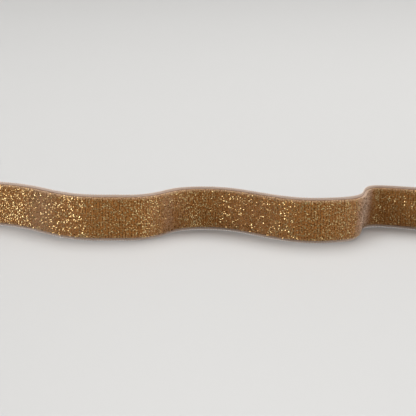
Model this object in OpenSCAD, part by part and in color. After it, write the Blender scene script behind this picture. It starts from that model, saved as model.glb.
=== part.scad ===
// Narrow velvet ribbon with glitter. It stands on its lower edge in loose waves, and its spare
// length is wound into a roll at the right-hand end, pile side out. The ribbon bends at six
// lengths joined by upright bend lines at the wave crests.
// Origin: on the lower edge, in the middle of the middle length. +X runs along the ribbon towards
// the roll, the pile faces -Y, and +Z is up.

/* [Ribbon] */
// Length of the whole ribbon, from the cut end to the inner end of the roll
ribbon_length = 1000; // [800:50:1200]
// Width of the ribbon, which is its height as it stands
ribbon_w = 10; // [8:1:16]
// Thickness of the ground cloth
cloth_t = 0.35; // [0.3:0.05:0.45]
// Height of the pile above the ground cloth
pile_h = 0.6; // [0.4:0.05:0.65]
// Thickness of the coat of glitter flakes on the tips of the pile
glitter_t = 0.05; // [0.03:0.01:0.08]
// Width of the selvage along each edge
selvage_w = 0.7; // [0.5:0.1:1]
// Thickness of the selvage
selvage_t = 0.45; // [0.4:0.05:0.6]

/* [Roll] */
// Radius of the open core of the roll
core_r = 6; // [5:0.5:8]
// Distance from one turn of the roll to the next
turn_pitch = 1.25; // [1.2:0.05:1.5]

/* [Bends] */
// Gap in the solids at each bend line, which lets the lengths turn
bend_gap = 0.6; // [0.5:0.05:0.8]

/* [Hidden] */
$fn = 96;

// Control points of the ribbon's route seen from above: a smooth cubic curve follows them.
route = [
    [-68, 16], [-64, 15.5], [-59, 13.5], [-54, 11], [-49, 6.5], [-44.5, 1], [-40, -3], [-35, -5],
    [-30, -4.5], [-25, -5], [-21, -1], [-18.5, 4.5], [-15, 7], [-10, 7.5], [-5, 5.5], [0, 0],
    [5, -5.5], [10, -8.5], [15, -8], [20, -6.5], [22.5, -2], [23.5, 5], [26.5, 10.5], [31, 9],
    [36, 6.5], [41, 3.5], [46, 1], [50.5, -0.5], [55, -1], [60, -1], [65, -1]
];

// Places on the route, counted in control points: its two ends and the bend lines between.
cut_end = 1;
near_left_bend = 8;
far_left_bend = 12.5;
near_right_bend = 17.5;
far_right_bend = 22.5;
roll_bend = 27;
roll_start = 29;

// The six lengths: where each starts and ends, and whether a bend line is at its start and end.
left_run = [cut_end, near_left_bend, false, true];
left_wave = [near_left_bend, far_left_bend, true, true];
middle_wave = [far_left_bend, near_right_bend, true, true];
right_wave = [near_right_bend, far_right_bend, true, true];
right_run = [far_right_bend, roll_bend, true, true];
roll_lead = [roll_bend, roll_start, true, false];

// Straight steps between two control points
steps_per_point = 8;

cloth_color = "tan";
pile_color = "peru";
selvage_color = "rosybrown";
glitter_color = "gold";

// Weights of four neighbouring control points for the point at t between the middle two
function point_weights(t) = [
    (1 - t) ^ 3 / 6,
    (3 * t ^ 3 - 6 * t ^ 2 + 4) / 6,
    (-3 * t ^ 3 + 3 * t ^ 2 + 3 * t + 1) / 6,
    t ^ 3 / 6
];

// Weights of the same four control points for the direction there
function slope_weights(t) = [
    -(1 - t) ^ 2 / 2,
    (3 * t ^ 2 - 4 * t) / 2,
    (-3 * t ^ 2 + 2 * t + 1) / 2,
    t ^ 2 / 2
];

function four_points(place) = let (first = min(floor(place), len(route) - 3) - 1)
    [for (i = [0:3]) route[first + i]];

function place_in_span(place) = place - min(floor(place), len(route) - 3);

function centre(place) = point_weights(place_in_span(place)) * four_points(place);

function slope(place) = slope_weights(place_in_span(place)) * four_points(place);

// A point at a distance towards the pile side of the cloth's middle
function beside(place, distance) = let (along = slope(place) / norm(slope(place)))
    centre(place) + distance * [along.y, -along.x];

// The place where a length's solids start or end, half a gap away from its bend line
function solid_start(run) = run[0] + (run[2] ? bend_gap / 2 / norm(slope(run[0])) : 0);

function solid_end(run) = run[1] - (run[3] ? bend_gap / 2 / norm(slope(run[1])) : 0);

function places(run) = let (
        first = solid_start(run),
        last = solid_end(run),
        steps = ceil((last - first) * steps_per_point)
    )
    [for (i = [0:steps]) first + (last - first) * i / steps];

function sum(numbers) = numbers * [for (number = numbers) 1];

// Length of the wavy part, from the cut end to the start of the roll
whole_steps = (roll_start - cut_end) * steps_per_point;
whole_route = [for (i = [0:whole_steps]) centre(cut_end + i / steps_per_point)];
wavy_length = sum([for (i = [1:whole_steps]) norm(whole_route[i] - whole_route[i - 1])]);

// The roll is a chain of half turns whose radius falls by half a pitch each time.
// Their number follows from the length that is left and the size of the core.
roll_length = ribbon_length - wavy_length;
mean_step = turn_pitch / 4;
half_turns = round((sqrt((core_r - mean_step) ^ 2 + 4 * mean_step * roll_length / PI)
    - (core_r - mean_step)) / (2 * mean_step));
outer_turn_r = roll_length / PI / half_turns + mean_step * (half_turns - 1);

// Heights and distances of the layers, from the lower edge and from the middle of the cloth
lower_edge = [0, selvage_w];
face = [selvage_w, ribbon_w - selvage_w];
upper_edge = [ribbon_w - selvage_w, ribbon_w];
cloth_layer = [-cloth_t / 2, cloth_t / 2];
pile_layer = [cloth_t / 2, cloth_t / 2 + pile_h];
glitter_layer = [cloth_t / 2 + pile_h, cloth_t / 2 + pile_h + glitter_t];
selvage_layer = [-selvage_t / 2, selvage_t / 2];

// A strip of one layer along one length
module strip(run, layer, heights) {
    along = places(run);
    back = [for (place = along) beside(place, layer[0])];
    front = [for (i = [len(along) - 1:-1:0]) beside(along[i], layer[1])];
    translate([0, 0, heights[0]])
        linear_extrude(heights[1] - heights[0])
            polygon(concat(back, front));
}

// A half turn of one layer: even ones bend away from the lead, odd ones bend back
module half_turn(number, layer, heights) {
    turn_r = outer_turn_r - number * turn_pitch / 2;
    odd = number % 2;
    middle_y = outer_turn_r + odd * turn_pitch / 2;
    translate([centre(roll_start).x, centre(roll_start).y + middle_y, 0])
        rotate([0, 0, odd * 180 - 90])
            rotate_extrude(angle = 180)
                translate([turn_r + layer[0], heights[0]])
                    square([layer[1] - layer[0], heights[1] - heights[0]]);
}

// One layer of the roll, with the short lead that enters it
module wound(layer, heights) {
    union() {
        strip(roll_lead, layer, heights);
        for (number = [0:half_turns - 1])
            half_turn(number, layer, heights);
    }
}

module left_run_cloth() { color(cloth_color) strip(left_run, cloth_layer, face); }
module left_run_pile() { color(pile_color) strip(left_run, pile_layer, face); }
module left_run_glitter() { color(glitter_color) strip(left_run, glitter_layer, face); }
module left_run_upper_selvage() { color(selvage_color) strip(left_run, selvage_layer, upper_edge); }
module left_run_lower_selvage() { color(selvage_color) strip(left_run, selvage_layer, lower_edge); }

module left_wave_cloth() { color(cloth_color) strip(left_wave, cloth_layer, face); }
module left_wave_pile() { color(pile_color) strip(left_wave, pile_layer, face); }
module left_wave_glitter() { color(glitter_color) strip(left_wave, glitter_layer, face); }
module left_wave_upper_selvage() { color(selvage_color) strip(left_wave, selvage_layer, upper_edge); }
module left_wave_lower_selvage() { color(selvage_color) strip(left_wave, selvage_layer, lower_edge); }

module middle_wave_cloth() { color(cloth_color) strip(middle_wave, cloth_layer, face); }
module middle_wave_pile() { color(pile_color) strip(middle_wave, pile_layer, face); }
module middle_wave_glitter() { color(glitter_color) strip(middle_wave, glitter_layer, face); }
module middle_wave_upper_selvage() { color(selvage_color) strip(middle_wave, selvage_layer, upper_edge); }
module middle_wave_lower_selvage() { color(selvage_color) strip(middle_wave, selvage_layer, lower_edge); }

module right_wave_cloth() { color(cloth_color) strip(right_wave, cloth_layer, face); }
module right_wave_pile() { color(pile_color) strip(right_wave, pile_layer, face); }
module right_wave_glitter() { color(glitter_color) strip(right_wave, glitter_layer, face); }
module right_wave_upper_selvage() { color(selvage_color) strip(right_wave, selvage_layer, upper_edge); }
module right_wave_lower_selvage() { color(selvage_color) strip(right_wave, selvage_layer, lower_edge); }

module right_run_cloth() { color(cloth_color) strip(right_run, cloth_layer, face); }
module right_run_pile() { color(pile_color) strip(right_run, pile_layer, face); }
module right_run_glitter() { color(glitter_color) strip(right_run, glitter_layer, face); }
module right_run_upper_selvage() { color(selvage_color) strip(right_run, selvage_layer, upper_edge); }
module right_run_lower_selvage() { color(selvage_color) strip(right_run, selvage_layer, lower_edge); }

module roll_cloth() { color(cloth_color) wound(cloth_layer, face); }
module roll_pile() { color(pile_color) wound(pile_layer, face); }
module roll_glitter() { color(glitter_color) wound(glitter_layer, face); }
module roll_upper_selvage() { color(selvage_color) wound(selvage_layer, upper_edge); }
module roll_lower_selvage() { color(selvage_color) wound(selvage_layer, lower_edge); }

left_run_cloth();
left_run_pile();
left_run_glitter();
left_run_upper_selvage();
left_run_lower_selvage();
left_wave_cloth();
left_wave_pile();
left_wave_glitter();
left_wave_upper_selvage();
left_wave_lower_selvage();
middle_wave_cloth();
middle_wave_pile();
middle_wave_glitter();
middle_wave_upper_selvage();
middle_wave_lower_selvage();
right_wave_cloth();
right_wave_pile();
right_wave_glitter();
right_wave_upper_selvage();
right_wave_lower_selvage();
right_run_cloth();
right_run_pile();
right_run_glitter();
right_run_upper_selvage();
right_run_lower_selvage();
roll_cloth();
roll_pile();
roll_glitter();
roll_upper_selvage();
roll_lower_selvage();
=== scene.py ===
import math

import bpy
import numpy as np
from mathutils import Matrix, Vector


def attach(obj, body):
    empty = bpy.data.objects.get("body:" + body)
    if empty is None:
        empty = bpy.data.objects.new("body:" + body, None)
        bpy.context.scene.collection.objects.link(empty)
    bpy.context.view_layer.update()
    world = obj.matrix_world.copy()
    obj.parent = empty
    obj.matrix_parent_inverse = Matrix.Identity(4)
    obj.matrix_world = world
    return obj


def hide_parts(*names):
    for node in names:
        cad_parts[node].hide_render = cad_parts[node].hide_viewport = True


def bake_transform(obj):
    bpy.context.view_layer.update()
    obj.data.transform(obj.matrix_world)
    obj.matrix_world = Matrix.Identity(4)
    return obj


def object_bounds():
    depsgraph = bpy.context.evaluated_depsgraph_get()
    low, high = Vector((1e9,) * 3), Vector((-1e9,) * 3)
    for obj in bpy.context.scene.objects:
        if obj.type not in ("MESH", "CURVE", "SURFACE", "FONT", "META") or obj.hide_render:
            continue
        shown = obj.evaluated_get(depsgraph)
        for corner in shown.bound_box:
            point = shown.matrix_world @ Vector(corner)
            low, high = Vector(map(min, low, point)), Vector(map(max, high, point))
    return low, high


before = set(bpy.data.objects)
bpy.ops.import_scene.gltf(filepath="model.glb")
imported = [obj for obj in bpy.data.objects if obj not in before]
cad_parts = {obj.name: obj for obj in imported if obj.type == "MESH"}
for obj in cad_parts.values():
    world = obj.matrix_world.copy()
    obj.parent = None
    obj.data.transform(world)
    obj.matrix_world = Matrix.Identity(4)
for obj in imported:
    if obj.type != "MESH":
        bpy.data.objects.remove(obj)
cad_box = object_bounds()


# ---------------------------------------------------------------- ground cloth
# The flat woven band that carries the pile: polyester warp threads lie along the ribbon and weft
# picks cross them, over one and under one. Its back is bare and shows the weave.

# The band stands on its lower edge and runs in waves from its cut end to a roll of its spare
# length, pile side out. Each piece of the ribbon is first laid out flat, by distance along it,
# distance in front of the middle of its cloth, and height, and is then bent along this route.
ROUTE = np.array([
    (-0.068, 0.016), (-0.064, 0.0155), (-0.059, 0.0135), (-0.054, 0.011), (-0.049, 0.0065),
    (-0.0445, 0.001), (-0.040, -0.003), (-0.035, -0.005), (-0.030, -0.0045), (-0.025, -0.005),
    (-0.021, -0.001), (-0.0185, 0.0045), (-0.015, 0.007), (-0.010, 0.0075), (-0.005, 0.0055),
    (0.0, 0.0), (0.005, -0.0055), (0.010, -0.0085), (0.015, -0.008), (0.020, -0.0065),
    (0.0225, -0.002), (0.0235, 0.005), (0.0265, 0.0105), (0.031, 0.009), (0.036, 0.0065),
    (0.041, 0.0035), (0.046, 0.001), (0.0505, -0.0005), (0.055, -0.001), (0.060, -0.001),
    (0.065, -0.001),
])
CUT_END, ROLL_START = 1, 29
RIBBON_LENGTH = 1.0
RIBBON_WIDTH = round(float(cad_box[1][2] - cad_box[0][2]), 5)
CORE_RADIUS = 0.006
TURN_PITCH = 0.00125
STEPS_PER_POINT = 60


def follow_route(place):
    """Points and directions of the smooth cubic curve that the control points steer."""
    first = np.minimum(np.floor(place).astype(int), len(ROUTE) - 3)
    t = (place - first)[:, None]
    before, here, after, beyond = (ROUTE[first + i] for i in (-1, 0, 1, 2))
    points = ((1 - t) ** 3 * before + (3 * t**3 - 6 * t**2 + 4) * here
              + (-3 * t**3 + 3 * t**2 + 3 * t + 1) * after + t**3 * beyond) / 6
    slopes = (-(1 - t) ** 2 * before + (3 * t**2 - 4 * t) * here
              + (-3 * t**2 + 2 * t + 1) * after + t**2 * beyond) / 2
    return points, slopes


places = np.linspace(CUT_END, ROLL_START, (ROLL_START - CUT_END) * STEPS_PER_POINT + 1)
wavy_points, wavy_slopes = follow_route(places)
steps = np.hypot(*np.diff(wavy_points, axis=0).T)
wavy_distances = np.concatenate([[0.0], np.cumsum(steps)])
wavy_headings = np.unwrap(np.arctan2(wavy_slopes[:, 1], wavy_slopes[:, 0]))
wavy_length = float(wavy_distances[-1])

# the roll is a chain of half turns, each half a pitch smaller in radius than the one before
roll_length = RIBBON_LENGTH - wavy_length
radius_step = TURN_PITCH / 4
root = math.sqrt((CORE_RADIUS - radius_step) ** 2 + 4 * radius_step * roll_length / math.pi)
half_turns = round((root - (CORE_RADIUS - radius_step)) / (2 * radius_step))
outer_radius = roll_length / math.pi / half_turns + radius_step * (half_turns - 1)
turn_radii = outer_radius - np.arange(half_turns) * TURN_PITCH / 2
turn_starts = np.concatenate([[0.0], np.cumsum(math.pi * turn_radii)])

# The waves are slightly twisted: the upper edge leans back at the cut end and forward at the
# right-hand wave, and the ribbon is upright again where it enters the roll.
LEAN_AT = (0.0, 0.058, 0.120, 0.150)
LEAN_BACK = (0.0011, 0.0, -0.0007, 0.0)


def bend(flat):
    """Moves points from the flat layout (along, in front, height) to their places in the drape."""
    along, front, height = np.asarray(flat, float).T
    x = np.interp(along, wavy_distances, wavy_points[:, 0])
    y = np.interp(along, wavy_distances, wavy_points[:, 1])
    heading = np.interp(along, wavy_distances, wavy_headings)
    rolled = np.clip(along - wavy_length, 0, roll_length)
    turn = np.clip(np.searchsorted(turn_starts, rolled, side="right") - 1, 0, half_turns - 1)
    radius = turn_radii[turn]
    angle = turn % 2 * math.pi + (rolled - turn_starts[turn]) / radius
    middle = wavy_points[-1] + np.stack([0 * radius, outer_radius + turn % 2 * TURN_PITCH / 2], 1)
    in_roll = along > wavy_length
    x = np.where(in_roll, middle[:, 0] + radius * np.sin(angle), x)
    y = np.where(in_roll, middle[:, 1] - radius * np.cos(angle), y)
    heading = np.where(in_roll, angle, heading)
    from_middle = 2 * height / RIBBON_WIDTH - 1
    front = front - np.interp(along, LEAN_AT, LEAN_BACK) * from_middle
    return np.stack([x + front * np.sin(heading), y - front * np.cos(heading), height], 1)


PICK_PITCH = 0.0003
LOOP_PITCH = 2 * PICK_PITCH


def distance_at(place):
    """The distance along the ribbon at a place on the route, counted in control points."""
    return float(np.interp(place, places, wavy_distances))


def whole_loops(length):
    """A length rounded to whole weft loops, so that the patterns of neighbouring zones meet."""
    return round(length / LOOP_PITCH) * LOOP_PITCH


class Zone:
    """The stretch of ribbon around one bend line, from the middle of one body to the middle of
    the next, so that a piece bends smoothly where the lengths turn."""

    def __init__(self, name, start, end, body, next_body=None, bend_line=None, stands_for=None,
                 only_edges_seen=False):
        self.name = name
        self.start, self.end = whole_loops(start), whole_loops(end)
        self.body, self.next_body, self.bend_line = body, next_body, bend_line
        self.stands_for = stands_for
        self.only_edges_seen = only_edges_seen


outer_turn_end = wavy_length + 2 * math.pi * outer_radius
ZONES = (
    Zone("cut_end", distance_at(CUT_END), distance_at(4.5), "left_run", stands_for="left_run"),
    Zone("near_left", distance_at(4.5), distance_at(10.25),
         "left_run", "left_wave", distance_at(8), stands_for="left_wave"),
    Zone("far_left", distance_at(10.25), distance_at(15),
         "left_wave", "middle_wave", distance_at(12.5), stands_for="middle_wave"),
    Zone("near_right", distance_at(15), distance_at(20),
         "middle_wave", "right_wave", distance_at(17.5), stands_for="right_wave"),
    Zone("far_right", distance_at(20), distance_at(24.75),
         "right_wave", "right_run", distance_at(22.5), stands_for="right_run"),
    Zone("roll_lead", distance_at(24.75), distance_at(28.5),
         "right_run", "roll", distance_at(27)),
    Zone("outer_turn", distance_at(28.5), outer_turn_end, "roll", stands_for="roll"),
    Zone("inner_turns", outer_turn_end, RIBBON_LENGTH, "roll", stands_for="roll",
         only_edges_seen=True),
)


def join_to_bodies(piece, zone, layer):
    """A piece rides on its body, or, where it spans a bend line, is left in place without a body.
    """
    if zone.bend_line:
        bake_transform(piece)
    else:
        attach(piece, zone.body)
    if zone.stands_for:
        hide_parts(f"{zone.stands_for}_{layer}")


# the thickness and the weave of the band
CLOTH_BACK = -0.00011
CLOTH_FRONT = 0.000175
CLOTH_MARGIN = 0.0006
WARP_PITCH = 0.00025
THREAD_CROWN = 0.000065
SAMPLES_PER_PICK = 2
SAMPLES_PER_WARP = 3
PLAIN_STEP_UP = 6 * WARP_PITCH
WARP_COLOUR = (0.34, 0.185, 0.090, 1)
WEFT_COLOUR = (0.20, 0.100, 0.046, 1)
CLOTH_SHADE = (0.15, 0.075, 0.034, 1)


def make_piece(name, flat, faces, material, smooth=True, **marks):
    """A mesh from flat points and lists of faces, each list with one number of corners. The flat
    layout is left-handed in the drape, so each face is turned round."""
    mesh = bpy.data.meshes.new(name)
    points = bend(flat)
    mesh.vertices.add(len(points))
    mesh.vertices.foreach_set("co", points.astype(np.float32).ravel())
    faces = [np.asarray(f)[:, ::-1] for f in faces]
    corners = np.concatenate([f.ravel() for f in faces])
    sizes = np.concatenate([np.full(len(f), f.shape[1]) for f in faces])
    mesh.loops.add(len(corners))
    mesh.loops.foreach_set("vertex_index", corners.astype(np.int32))
    mesh.polygons.add(len(sizes))
    starts = np.concatenate([[0], np.cumsum(sizes)[:-1]])
    mesh.polygons.foreach_set("loop_start", starts.astype(np.int32))
    mesh.polygons.foreach_set("use_smooth", np.full(len(sizes), smooth))
    mesh.update(calc_edges=True)
    marks["laid_flat"] = np.asarray(flat) * 1000
    for mark, values in marks.items():
        kind, field = ("FLOAT", "value") if np.ndim(values) == 1 else ("FLOAT_VECTOR", "vector")
        attribute = mesh.attributes.new(mark, kind, "POINT")
        attribute.data.foreach_set(field, np.asarray(values, np.float32).ravel())
    mesh.materials.append(material)
    piece = bpy.data.objects.new(name, mesh)
    bpy.context.scene.collection.objects.link(piece)
    return piece


def strip(along, front, height):
    """A closed strip: section points run round the ribbon's section, anticlockwise with the pile
    side at the right. front and height are one row of section points for each place along."""
    count, around = front.shape
    flat = np.stack([np.repeat(along[:, None], around, 1), front, height], 2).reshape(-1, 3)
    place = np.arange(count - 1)[:, None] * around
    corner = np.arange(around)[None, :]
    after = (corner + 1) % around
    quads = np.stack([place + corner, place + after, place + around + after,
                      place + around + corner], 2).reshape(-1, 4)
    first_cap = np.arange(around)[None, ::-1]
    last_cap = (count - 1) * around + np.arange(around)[None, :]
    return flat, [quads, first_cap, last_cap]


def evenly(start, end, pitch):
    """Evenly spaced values from start to end, about a pitch apart."""
    return np.linspace(start, end, max(2, round((end - start) / pitch) + 1))


def weave_height(along, height):
    """How far the woven surface stands out: the crown of whichever thread passes over there."""
    pick = along / PICK_PITCH
    warp = height / WARP_PITCH
    over = np.cos(np.pi * pick) * np.where(np.floor(warp) % 2 == 0, 1, -1)
    warp_crown = np.sqrt(np.clip(1 - (2 * (warp % 1) - 1) ** 2, 0, 1)) + over
    weft_crown = np.abs(np.cos(np.pi * pick)) - np.cos(np.pi * (pick + np.floor(warp)))
    return THREAD_CROWN * np.maximum(warp_crown, weft_crown) / 2, warp_crown > weft_crown


def shader(name):
    """A new material, its node maker and its Principled shader."""
    material = bpy.data.materials.new(name)
    material.use_nodes = True
    tree = material.node_tree

    def node(kind, links=(), **settings):
        made = tree.nodes.new(kind)
        for key, value in settings.items():
            if hasattr(made, key):
                setattr(made, key, value)
            else:
                made.inputs[key.replace("_", " ")].default_value = value
        for source, target in links:
            tree.links.new(source, made.inputs[target])
        return made

    return material, node, tree.nodes["Principled BSDF"], tree.links


def noise(node, scale, detail):
    """A noise laid out flat along the ribbon, in features per millimetre."""
    flat = node("ShaderNodeAttribute", attribute_name="laid_flat")
    return node("ShaderNodeTexNoise", [(flat.outputs["Vector"], "Vector")],
                Scale=scale, Detail=detail)


def set_surface(surface, **settings):
    """Sets inputs of the Principled shader, with underscores for the spaces in their names."""
    for key, value in settings.items():
        surface.inputs[key.replace("_", " ")].default_value = value


def cloth_material():
    material, node, surface, links = shader("ground_cloth")
    slub = noise(node, 2.2, 4.0)
    fibre = noise(node, 24.0, 3.0)
    warp = node("ShaderNodeAttribute", attribute_name="warp")
    threads = node("ShaderNodeMixRGB", [(warp.outputs["Fac"], "Fac")],
                   Color1=WEFT_COLOUR, Color2=WARP_COLOUR)
    colour = node("ShaderNodeMixRGB", [(slub.outputs["Fac"], "Fac"),
                  (threads.outputs["Color"], "Color2")], Color1=CLOTH_SHADE)
    links.new(colour.outputs["Color"], surface.inputs["Base Color"])
    relief = node("ShaderNodeBump", [(fibre.outputs["Fac"], "Height")],
                  Strength=0.5, Distance=0.00003)
    links.new(relief.outputs["Normal"], surface.inputs["Normal"])
    set_surface(surface, Roughness=0.7, Sheen_Weight=0.25, Sheen_Roughness=0.4)
    return material


woven_cloth = cloth_material()
for zone in ZONES:
    if zone.only_edges_seen:
        along_step, across_step, relief_share = LOOP_PITCH, PLAIN_STEP_UP, 0
    else:
        along_step, across_step = PICK_PITCH / SAMPLES_PER_PICK, WARP_PITCH / SAMPLES_PER_WARP
        relief_share = 1
    along = evenly(zone.start, zone.end, along_step)
    heights = evenly(CLOTH_MARGIN, RIBBON_WIDTH - CLOTH_MARGIN, across_step)
    relief, warp_on_top = weave_height(along[:, None], heights[None, ::-1])
    back = CLOTH_BACK - relief * relief_share
    ones = np.ones((len(along), 1))
    front = np.hstack([ones * CLOTH_FRONT, ones * CLOTH_FRONT, back])
    height = np.hstack([ones * heights[0], ones * heights[-1], ones * heights[None, ::-1]])
    flat, faces = strip(along, front, height)
    warp = np.hstack([ones, ones, warp_on_top]).ravel()
    cloth = make_piece(f"{zone.name}_ground_cloth", flat, faces, woven_cloth, warp=warp)
    join_to_bodies(cloth, zone, "cloth")


# ---------------------------------------------------------------- selvages
# Each long edge is a firm band without pile: four satin warp cords lie side by side, and the weft
# crosses them, turns in a loop at the edge and comes back one pick further on.
CORD_HEIGHTS = (0.00024, 0.00039, 0.00054, 0.00069)
CORD_RADIUS = 0.000085
CORD_WAVE = 0.00005
WEFT_RADIUS = 0.000075
WEFT_FROM = 0.00082
LOOP_POINTS = 5
SELVAGE_COLOUR = (0.72, 0.58, 0.49, 1)
SELVAGE_SHADE = (0.52, 0.39, 0.31, 1)


def tubes(paths, radius, sides):
    """Round threads along many paths at once, each path an equal number of flat points."""
    paths = np.asarray(paths, float)
    many, length, _ = paths.shape
    tangent = np.gradient(paths, axis=1)
    tangent /= np.linalg.norm(tangent, axis=2, keepdims=True)
    side = np.cross(tangent, (0.0, 1.0, 0.0))
    side /= np.linalg.norm(side, axis=2, keepdims=True)
    up = np.cross(side, tangent)
    turn = np.arange(sides) * 2 * math.pi / sides
    ring = (side[:, :, None] * np.cos(turn)[:, None] + up[:, :, None] * np.sin(turn)[:, None])
    flat = (paths[:, :, None] + radius * ring).reshape(-1, 3)
    thread = np.arange(many)[:, None, None] * length * sides
    place = np.arange(length - 1)[None, :, None] * sides
    corner = np.arange(sides)[None, None, :]
    after = (corner + 1) % sides
    base = thread + place
    quads = np.stack([base + corner, base + sides + corner, base + sides + after,
                      base + after], 3).reshape(-1, 4)
    first_cap = thread[:, 0] + np.arange(sides)[None, :]
    last_cap = thread[:, 0] + (length - 1) * sides + np.arange(sides)[None, ::-1]
    return flat, [quads, first_cap, last_cap]


def gather(parts):
    """Several sets of flat points and faces as one."""
    offset, flats, groups = 0, [], []
    for flat, faces in parts:
        flats.append(flat)
        groups += [f + offset for f in faces]
        offset += len(flat)
    return np.concatenate(flats), groups


def warp_cords(start, end, step, sides):
    """Four cords that pass over and under the picks in turn."""
    along = evenly(start, end, step)
    cords = []
    for number, height in enumerate(CORD_HEIGHTS):
        front = CORD_WAVE * np.cos(np.pi * along / PICK_PITCH + np.pi * number)
        cords.append(np.stack([along, front, np.full_like(along, height)], 1))
    return tubes(cords, CORD_RADIUS, sides)


def weft_loops(start, end, leg_points, sides):
    """U-shaped loops: down one pick, round at the edge, and up the next pick."""
    middles = np.arange(round(start / LOOP_PITCH), round(end / LOOP_PITCH)) + 0.5
    middles = middles * LOOP_PITCH
    half_gap = PICK_PITCH / 2
    arc_height = WEFT_RADIUS + half_gap
    leg = np.linspace(WEFT_FROM, arc_height, leg_points)
    turn = np.linspace(0, math.pi, LOOP_POINTS)[1:-1]
    height = np.concatenate([leg, arc_height - half_gap * np.sin(turn), leg[::-1]])
    aside = np.concatenate([-half_gap + 0 * leg, -half_gap * np.cos(turn), half_gap + 0 * leg])
    row = (leg - CORD_HEIGHTS[0]) / (CORD_HEIGHTS[1] - CORD_HEIGHTS[0])
    wave = -CORD_WAVE * np.cos(np.pi * row)
    crossing = np.linspace(wave[-1], -wave[-1], LOOP_POINTS)[1:-1]
    front = np.concatenate([wave, crossing, -wave[::-1]])
    count = len(middles)
    paths = np.stack([middles[:, None] + aside[None, :], np.tile(front, (count, 1)),
                      np.tile(height, (count, 1))], 2)
    return tubes(paths, WEFT_RADIUS, sides)


def selvage_material():
    material, node, surface, links = shader("selvage_yarn")
    slub = noise(node, 3.0, 4.0)
    fibre = noise(node, 40.0, 2.0)
    colour = node("ShaderNodeMixRGB", [(slub.outputs["Fac"], "Fac")],
                  Color1=SELVAGE_SHADE, Color2=SELVAGE_COLOUR)
    links.new(colour.outputs["Color"], surface.inputs["Base Color"])
    relief = node("ShaderNodeBump", [(fibre.outputs["Fac"], "Height")],
                  Strength=0.4, Distance=0.00002)
    links.new(relief.outputs["Normal"], surface.inputs["Normal"])
    set_surface(surface, Roughness=0.5, Sheen_Weight=0.35, Sheen_Roughness=0.3)
    return material


selvage_yarn = selvage_material()
for zone in ZONES:
    if zone.only_edges_seen:
        cord_step, leg_points, sides = PICK_PITCH, 3, 4
    else:
        cord_step, leg_points, sides = PICK_PITCH / 2, 6, 5
    flat, faces = gather([warp_cords(zone.start, zone.end, cord_step, sides),
                          weft_loops(zone.start, zone.end, leg_points, sides)])
    lower = make_piece(f"{zone.name}_lower_selvage", flat, faces, selvage_yarn)
    mirrored = flat * (1, 1, -1) + (0, 0, RIBBON_WIDTH)
    upper = make_piece(f"{zone.name}_upper_selvage", mirrored, [f[:, ::-1] for f in faces],
                       selvage_yarn)
    for selvage, edge in ((lower, "lower_selvage"), (upper, "upper_selvage")):
        join_to_bodies(selvage, zone, edge)


# ---------------------------------------------------------------- velvet pile
# Cut polyester tufts stand on the face of the cloth in rows, a pair of rows to each weft loop.
# They lean a little towards the upper edge. Their colour has painted shade towards the roots, and
# the tufts along both edges splay outwards and carry a painted highlight, strongest along the upper
# edge.
BED_TOP = 0.00048
BED_ROUNDING = 0.0001
PILE_TOP = 0.00077
PILE_MARGIN = 0.00074
TUFT_PITCH_UP = 0.00022
TUFT_ROOT_DEPTH = 0.00045
TUFT_TIP_RADIUS = 0.00015
TUFT_SIDES = 6
TUFT_NAP = 0.00003
TUFT_WANDER = 0.00003
RAGGED_REACH = (0.72, 1.28)
RAGGED_DROP = (0.00001, 0.00006)
PAIRING = 0.08
ROW_WANDER = 0.000025
COLUMN_WANDER = 0.000035
RIM_TIP_SHARE = 0.85
EDGE_ZONE = 0.0007
EDGE_SPLAY = 0.00003
EDGE_DROP = 0.00012
# painted highlight: how much of the upper edge's paler colour the lower edge gets
LOWER_EDGE_HIGHLIGHT = 0.35
# painted shade: the roots of the tufts and the bed between them are coloured darker for the shade
# deep down in the pile
PILE_ROOT_SHADE = (0.19, 0.075, 0.018, 1)
PILE_TIP_COLOUR = (0.355, 0.140, 0.029, 1)
PILE_LIGHT_TIP = (0.49, 0.215, 0.056, 1)
# painted highlight: the paler colour of the tufts along the edges, where light from above falls on
# them
PILE_EDGE_HIGHLIGHT = (0.80, 0.54, 0.33, 1)
# painted sheen: the paler, greyer colour of the pile seen at grazing angles
PILE_GRAZING_SHEEN = (0.72, 0.57, 0.46, 1)
PILE_LOW, PILE_HIGH = PILE_MARGIN, RIBBON_WIDTH - PILE_MARGIN
chance = np.random.default_rng(11)


def pile_bed(start, end):
    """The dense foot of the pile, as one strip."""
    along = evenly(start, end, LOOP_PITCH)
    section_front = np.array([CLOTH_FRONT, BED_TOP - BED_ROUNDING, BED_TOP, BED_TOP,
                              BED_TOP - BED_ROUNDING, CLOTH_FRONT])
    section_height = np.array([PILE_LOW, PILE_LOW, PILE_LOW + BED_ROUNDING,
                               PILE_HIGH - BED_ROUNDING, PILE_HIGH, PILE_HIGH])
    ones = np.ones((len(along), 1))
    return strip(along, ones * section_front, ones * section_height)


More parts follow.
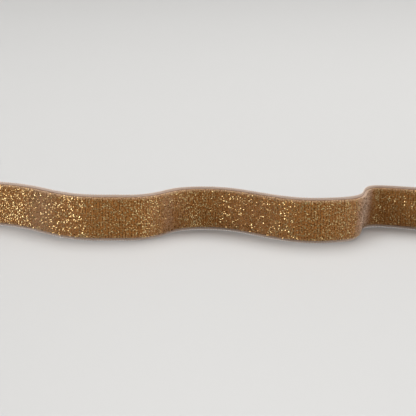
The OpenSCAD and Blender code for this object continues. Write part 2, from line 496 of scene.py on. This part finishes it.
def tufts(along, height):
    """Flared tufts rooted in the bed, with ragged tips moved by the nap, by chance and by splay."""
    count = len(along)
    middle = RIBBON_WIDTH / 2
    from_middle = np.abs(height - middle)
    edge = np.clip((from_middle - (middle - PILE_MARGIN - EDGE_ZONE)) / EDGE_ZONE, 0, 1)
    outward = np.sign(height - middle) * edge * EDGE_SPLAY
    tops = PILE_TOP - EDGE_DROP * edge**2
    crown = np.stack([along, tops, height + TUFT_NAP + outward], 1)[:, None]
    crown = crown + chance.normal(0, TUFT_WANDER, crown.shape)
    corner_turns = np.arange(TUFT_SIDES) * 2 * math.pi / TUFT_SIDES
    turn = chance.uniform(0, 2 * math.pi, (count, 1)) + corner_turns
    circle = np.stack([np.cos(turn), np.zeros_like(turn), -np.sin(turn)], 2)
    ragged = chance.uniform(*RAGGED_REACH, (count, TUFT_SIDES, 1))
    lower = np.stack([turn * 0, -chance.uniform(*RAGGED_DROP, turn.shape), turn * 0], 2)
    root = np.stack([along, np.full(count, PILE_TOP - TUFT_ROOT_DEPTH), height], 1)[:, None]
    points = np.concatenate([root, crown + circle * TUFT_TIP_RADIUS * ragged + lower, crown], 1)
    points_each = TUFT_SIDES + 2
    first = np.arange(count)[:, None] * points_each
    corner = 1 + np.arange(TUFT_SIDES)[None, :]
    after = 1 + corner % TUFT_SIDES
    sides = np.stack([first + corner, first + 0 * corner, first + after], 2)
    crowns = np.stack([first + corner, first + after, first + TUFT_SIDES + 1 + 0 * corner], 2)
    tuft_shade = np.repeat(chance.uniform(0, 1, count), points_each)
    # painted highlight: tufts near the edges are coloured paler, fully at the upper edge and less
    # at the lower one
    edge_highlight = edge**2 * np.where(height > middle, 1.0, LOWER_EDGE_HIGHLIGHT)
    marks = {"tip": np.tile(np.repeat([0.0, RIM_TIP_SHARE, 1.0], [1, TUFT_SIDES, 1]), count),
             "shade": (tuft_shade + chance.uniform(0, 1, count * points_each)) / 2,
             "edge": np.repeat(edge_highlight, points_each)}
    return points.reshape(-1, 3), [sides.reshape(-1, 3), crowns.reshape(-1, 3)], marks


def tuft_places(start, end, low, high):
    """Rows of tufts in pairs, two to each weft loop, with a slightly wider gap between pairs."""
    picks = np.arange(round(start / PICK_PITCH), round(end / PICK_PITCH)) + 0.5
    shift = np.where(np.floor(picks) % 2 == 0, -1, 1) * PICK_PITCH * PAIRING
    along = picks * PICK_PITCH - shift
    rows = max(1, round((high - low) / TUFT_PITCH_UP))
    height = low + (np.arange(rows) + 0.5) * (high - low) / rows
    grid_along = np.repeat(along, rows)
    grid_height = np.tile(height, len(along))
    grid_along = grid_along + chance.normal(0, ROW_WANDER, len(grid_along))
    grid_height = grid_height + chance.normal(0, COLUMN_WANDER, len(grid_height))
    return grid_along, grid_height


def seen_places(lay_out, zone):
    """Places laid out over the whole face, or along both edges where only those are seen."""
    if not zone.only_edges_seen:
        return lay_out(zone.start, zone.end, PILE_LOW, PILE_HIGH)
    edges = [lay_out(zone.start, zone.end, PILE_LOW, PILE_LOW + TUFT_PITCH_UP),
             lay_out(zone.start, zone.end, PILE_HIGH - TUFT_PITCH_UP, PILE_HIGH)]
    return [np.concatenate(both) for both in zip(*edges)]


def pile_material():
    material, node, surface, links = shader("velvet_pile")
    tip = node("ShaderNodeAttribute", attribute_name="tip")
    shade = node("ShaderNodeAttribute", attribute_name="shade")
    brushed = noise(node, 0.35, 3.0)
    fibre = noise(node, 60.0, 2.0)
    mood = node("ShaderNodeMath", [(shade.outputs["Fac"], 0), (brushed.outputs["Fac"], 1)],
                operation="MULTIPLY")
    tips = node("ShaderNodeMixRGB", [(mood.outputs["Value"], "Fac")],
                Color1=PILE_TIP_COLOUR, Color2=PILE_LIGHT_TIP)
    # painted highlight: paler along both edges, most along the upper one
    edge = node("ShaderNodeAttribute", attribute_name="edge")
    edges = node("ShaderNodeMixRGB", [(edge.outputs["Fac"], "Fac"),
                 (tips.outputs["Color"], "Color1")], Color2=PILE_EDGE_HIGHLIGHT)
    # painted shade: the colour darkens from the tips towards the roots and over the bed
    root_shade = node("ShaderNodeMixRGB", [(tip.outputs["Fac"], "Fac"),
                (edges.outputs["Color"], "Color2")], Color1=PILE_ROOT_SHADE)
    # painted sheen: where the pile is seen along its surface, its colour is mixed towards a paler,
    # greyer one, for the sheen of velvet at grazing angles
    outward = node("ShaderNodeAttribute", attribute_name="outward")
    straight = node("ShaderNodeVectorMath", [(outward.outputs["Vector"], 0)], operation="NORMALIZE")
    view = node("ShaderNodeNewGeometry")
    towards = node("ShaderNodeVectorMath", [(straight.outputs["Vector"], 0),
                   (view.outputs["Incoming"], 1)], operation="DOT_PRODUCT")
    grazing_sheen = node("ShaderNodeMapRange", [(towards.outputs["Value"], "Value")],
                    From_Min=0.6, From_Max=0.0, To_Max=0.7)
    colour = node("ShaderNodeMixRGB", [(grazing_sheen.outputs["Result"], "Fac"),
                  (root_shade.outputs["Color"], "Color1")], Color2=PILE_GRAZING_SHEEN)
    links.new(colour.outputs["Color"], surface.inputs["Base Color"])
    relief = node("ShaderNodeBump", [(fibre.outputs["Fac"], "Height")],
                  Strength=0.6, Distance=0.00002)
    links.new(relief.outputs["Normal"], surface.inputs["Normal"])
    set_surface(surface, Roughness=0.85, Specular_IOR_Level=0.15, Sheen_Weight=0.5,
                Sheen_Roughness=0.35, Sheen_Tint=(0.92, 0.80, 0.66, 1))
    return material


velvet = pile_material()
for zone in ZONES:
    bed_flat, bed_faces = pile_bed(zone.start, zone.end)
    along, height = seen_places(tuft_places, zone)
    tuft_flat, tuft_faces, tuft_marks = tufts(along, height)
    flat, faces = gather([(bed_flat, bed_faces), (tuft_flat, tuft_faces)])
    # the bed gets no marks, so it takes the painted root shade
    marks = {mark: np.concatenate([np.zeros(len(bed_flat)), values])
             for mark, values in tuft_marks.items()}
    # the ribbon's outward direction, which steers the painted sheen
    one_millimetre_out = flat + (0, 0.001, 0)
    marks["outward"] = bend(one_millimetre_out) - bend(flat)
    pile = make_piece(f"{zone.name}_velvet_pile", flat, faces, velvet, **marks)
    join_to_bodies(pile, zone, "pile")


# ---------------------------------------------------------------- glitter
# Hexagonal flakes cut from gold-coloured polyester film, bonded to the tips of the pile. They
# face slightly upwards with its nap, and each is tilted a little its own way, so a few of them
# catch the light at a time.
FLAKE_RADIUS = 0.000105
FLAKE_SIZES = (0.8, 1.15)
FLAKE_SIDES = 6
FLAKE_THICKNESS = 0.00002
FLAKES_PER_SQUARE_METRE = 7.0e6
FLAKE_TILT = math.radians(8)
FLAKE_NAP = math.radians(17)
GREATEST_TILT = 0.9
LOOSE_FLAKES = 0.05
LOOSE_TILT = 4
FLAKE_LIFT = (0.00002, 0.00006)
GOLD_COLOUR = (0.30, 0.175, 0.058, 1)
GOLD_LIGHT = (0.60, 0.48, 0.24, 1)


def flakes(along, height, front):
    """Thin six-sided flakes with a drop of binder behind them, each tilted and turned by chance."""
    count = len(along)
    loose = np.where(chance.random(count) < LOOSE_FLAKES, LOOSE_TILT, 1)
    tilt = chance.normal(0, 1, (2, count)) * loose * FLAKE_TILT + ((0,), (FLAKE_NAP,))
    tilt = np.clip(tilt, -GREATEST_TILT, GREATEST_TILT)
    normal = np.stack([np.tan(tilt[0]), np.ones(count), np.tan(tilt[1])], 1)
    normal /= np.linalg.norm(normal, axis=1, keepdims=True)
    spin = chance.uniform(0, 2 * math.pi, count)
    aside = np.stack([np.cos(spin), np.zeros(count), np.sin(spin)], 1)
    aside -= normal * np.sum(aside * normal, 1, keepdims=True)
    aside /= np.linalg.norm(aside, axis=1, keepdims=True)
    across = np.cross(normal, aside)
    turn = np.arange(FLAKE_SIDES) * 2 * math.pi / FLAKE_SIDES
    radius = FLAKE_RADIUS * chance.uniform(*FLAKE_SIZES, (count, 1, 1))
    hexagon = radius * (aside[:, None] * np.cos(turn)[:, None]
                        + across[:, None] * np.sin(turn)[:, None])
    middle = np.stack([along, front, height], 1)[:, None]
    behind = middle - normal[:, None] * FLAKE_THICKNESS
    flat = np.concatenate([middle + hexagon, behind], 1).reshape(-1, 3)
    points_each = FLAKE_SIDES + 1
    first = np.arange(count)[:, None] * points_each
    corner = np.arange(FLAKE_SIDES)[None, :]
    face = first + corner
    back = np.stack([first + (corner + 1) % FLAKE_SIDES, face,
                     first + FLAKE_SIDES + 0 * corner], 2)
    shade = np.repeat(chance.uniform(0, 1, count) ** 2, points_each)
    return flat, [face, back.reshape(-1, 3)], shade


def scatter(start, end, low, high):
    """Places for flakes, at the density of the coat, over part of the face."""
    count = round((end - start) * (high - low) * FLAKES_PER_SQUARE_METRE)
    return chance.uniform(start, end, count), chance.uniform(low, high, count)


def glitter_material():
    material, node, surface, links = shader("gold_glitter")
    shade = node("ShaderNodeAttribute", attribute_name="shade")
    scuff = noise(node, 30.0, 2.0)
    colour = node("ShaderNodeMixRGB", [(shade.outputs["Fac"], "Fac")],
                  Color1=GOLD_COLOUR, Color2=GOLD_LIGHT)
    links.new(colour.outputs["Color"], surface.inputs["Base Color"])
    dull = node("ShaderNodeMapRange", [(scuff.outputs["Fac"], "Value")], To_Min=0.12, To_Max=0.28)
    links.new(dull.outputs["Result"], surface.inputs["Roughness"])
    set_surface(surface, Metallic=1.0, Coat_Weight=0.2, Coat_Roughness=0.12)
    return material


gold_film = glitter_material()
for zone in ZONES:
    along, height = seen_places(scatter, zone)
    front = PILE_TOP + chance.uniform(*FLAKE_LIFT, len(along))
    flat, faces, shade = flakes(along, height, front)
    glitter = make_piece(f"{zone.name}_glitter", flat, faces, gold_film, smooth=False,
                         shade=shade)
    join_to_bodies(glitter, zone, "glitter")


# ---------------------------------------------------------------- camera
# It looks along +Y, ten degrees down on the waves, from about twenty centimetres away. The cut
# end and the roll lie just outside its view, at the left and at the right.
camera = bpy.data.objects.new("camera", bpy.data.cameras.new("camera"))
camera.data.sensor_width = 36
camera.data.lens = 81.9
camera.data.clip_start = 0.01
camera.location = (-0.0105, -0.2028, 0.0420)
camera.rotation_euler = (math.radians(80), 0, 0)
bpy.context.scene.collection.objects.link(camera)
bpy.context.scene.camera = camera


# ---------------------------------------------------------------- floor and lights
# A pale floor that curves up into a bowl all round, so that no edge shows. The key light is a
# narrow strip at the left that sets off the glitter, and broad soft lights fill in from the right
# end, the right, above and behind, and in front.
FLAT_RADIUS = 0.25
BOWL_RADIUS = 2.2
BOWL_RINGS = 24
FLOOR_STEPS = 72


def floor_bowl():
    """A flat disc whose rim curves up by a quarter circle, in rings of quads."""
    radii = [0.0, FLAT_RADIUS]
    rises = [0.0, 0.0]
    for ring in range(1, BOWL_RINGS + 1):
        turn = ring / BOWL_RINGS * math.pi / 2
        radii.append(FLAT_RADIUS + BOWL_RADIUS * math.sin(turn))
        rises.append(BOWL_RADIUS * (1 - math.cos(turn)))
    points = [(0, 0, 0)]
    faces = []
    for radius, rise in zip(radii[1:], rises[1:]):
        for step in range(FLOOR_STEPS):
            turn = 2 * math.pi * step / FLOOR_STEPS
            points.append((radius * math.cos(turn), radius * math.sin(turn), rise))
    for step in range(FLOOR_STEPS):
        after = (step + 1) % FLOOR_STEPS
        faces.append((0, 1 + step, 1 + after))
        for ring in range(len(radii) - 2):
            low, high = 1 + ring * FLOOR_STEPS, 1 + (ring + 1) * FLOOR_STEPS
            faces.append((low + step, high + step, high + after, low + after))
    mesh = bpy.data.meshes.new("floor")
    mesh.from_pydata(points, [], faces)
    mesh.polygons.foreach_set("use_smooth", [True] * len(faces))
    return bpy.data.objects.new("floor", mesh)


floor = floor_bowl()
bpy.context.scene.collection.objects.link(floor)
paper, node, surface, links = shader("pale_floor")
set_surface(surface, Base_Color=(0.52, 0.515, 0.505, 1), Roughness=0.45)
floor.data.materials.append(paper)


def lamp(name, size, power, place, aim):
    """A rectangular light of a size in metres and a power in watts, turned to face its aim."""
    light = bpy.data.lights.new(name, "AREA")
    light.shape = "RECTANGLE"
    light.size, light.size_y = size
    light.energy = power
    lamp_object = bpy.data.objects.new(name, light)
    lamp_object.location = place
    direction = np.subtract(aim, place)
    across = math.hypot(direction[0], direction[1])
    lamp_object.rotation_euler = (math.atan2(across, -direction[2]), 0,
                                  math.atan2(direction[1], direction[0]) - math.pi / 2)
    lamp_object.visible_camera = False
    bpy.context.scene.collection.objects.link(lamp_object)


lamp("key", (0.82, 0.2), 3.4, (-0.81, -0.12, 0.47), (0, 0, 0.005))
lamp("side", (0.9, 0.7), 3.0, (0.80, 0.14, 0.47), (0, 0, 0.005))
lamp("right", (1.8, 1.2), 5.0, (0.8, -0.62, 0.55), (0, 0, 0.005))
lamp("overhead", (0.8, 0.8), 7.5, (0.1, 0.55, 0.85), (0, 0, 0))
lamp("front", (3.4, 2.2), 13.7, (0.05, -0.85, 1.0), (0, 0, 0))
world = bpy.data.worlds.new("studio")
world.use_nodes = True
world.node_tree.nodes["Background"].inputs["Color"].default_value = (1, 1, 1, 1)
world.node_tree.nodes["Background"].inputs["Strength"].default_value = 0.3
bpy.context.scene.world = world
bpy.context.scene.view_settings.view_transform = "Standard"
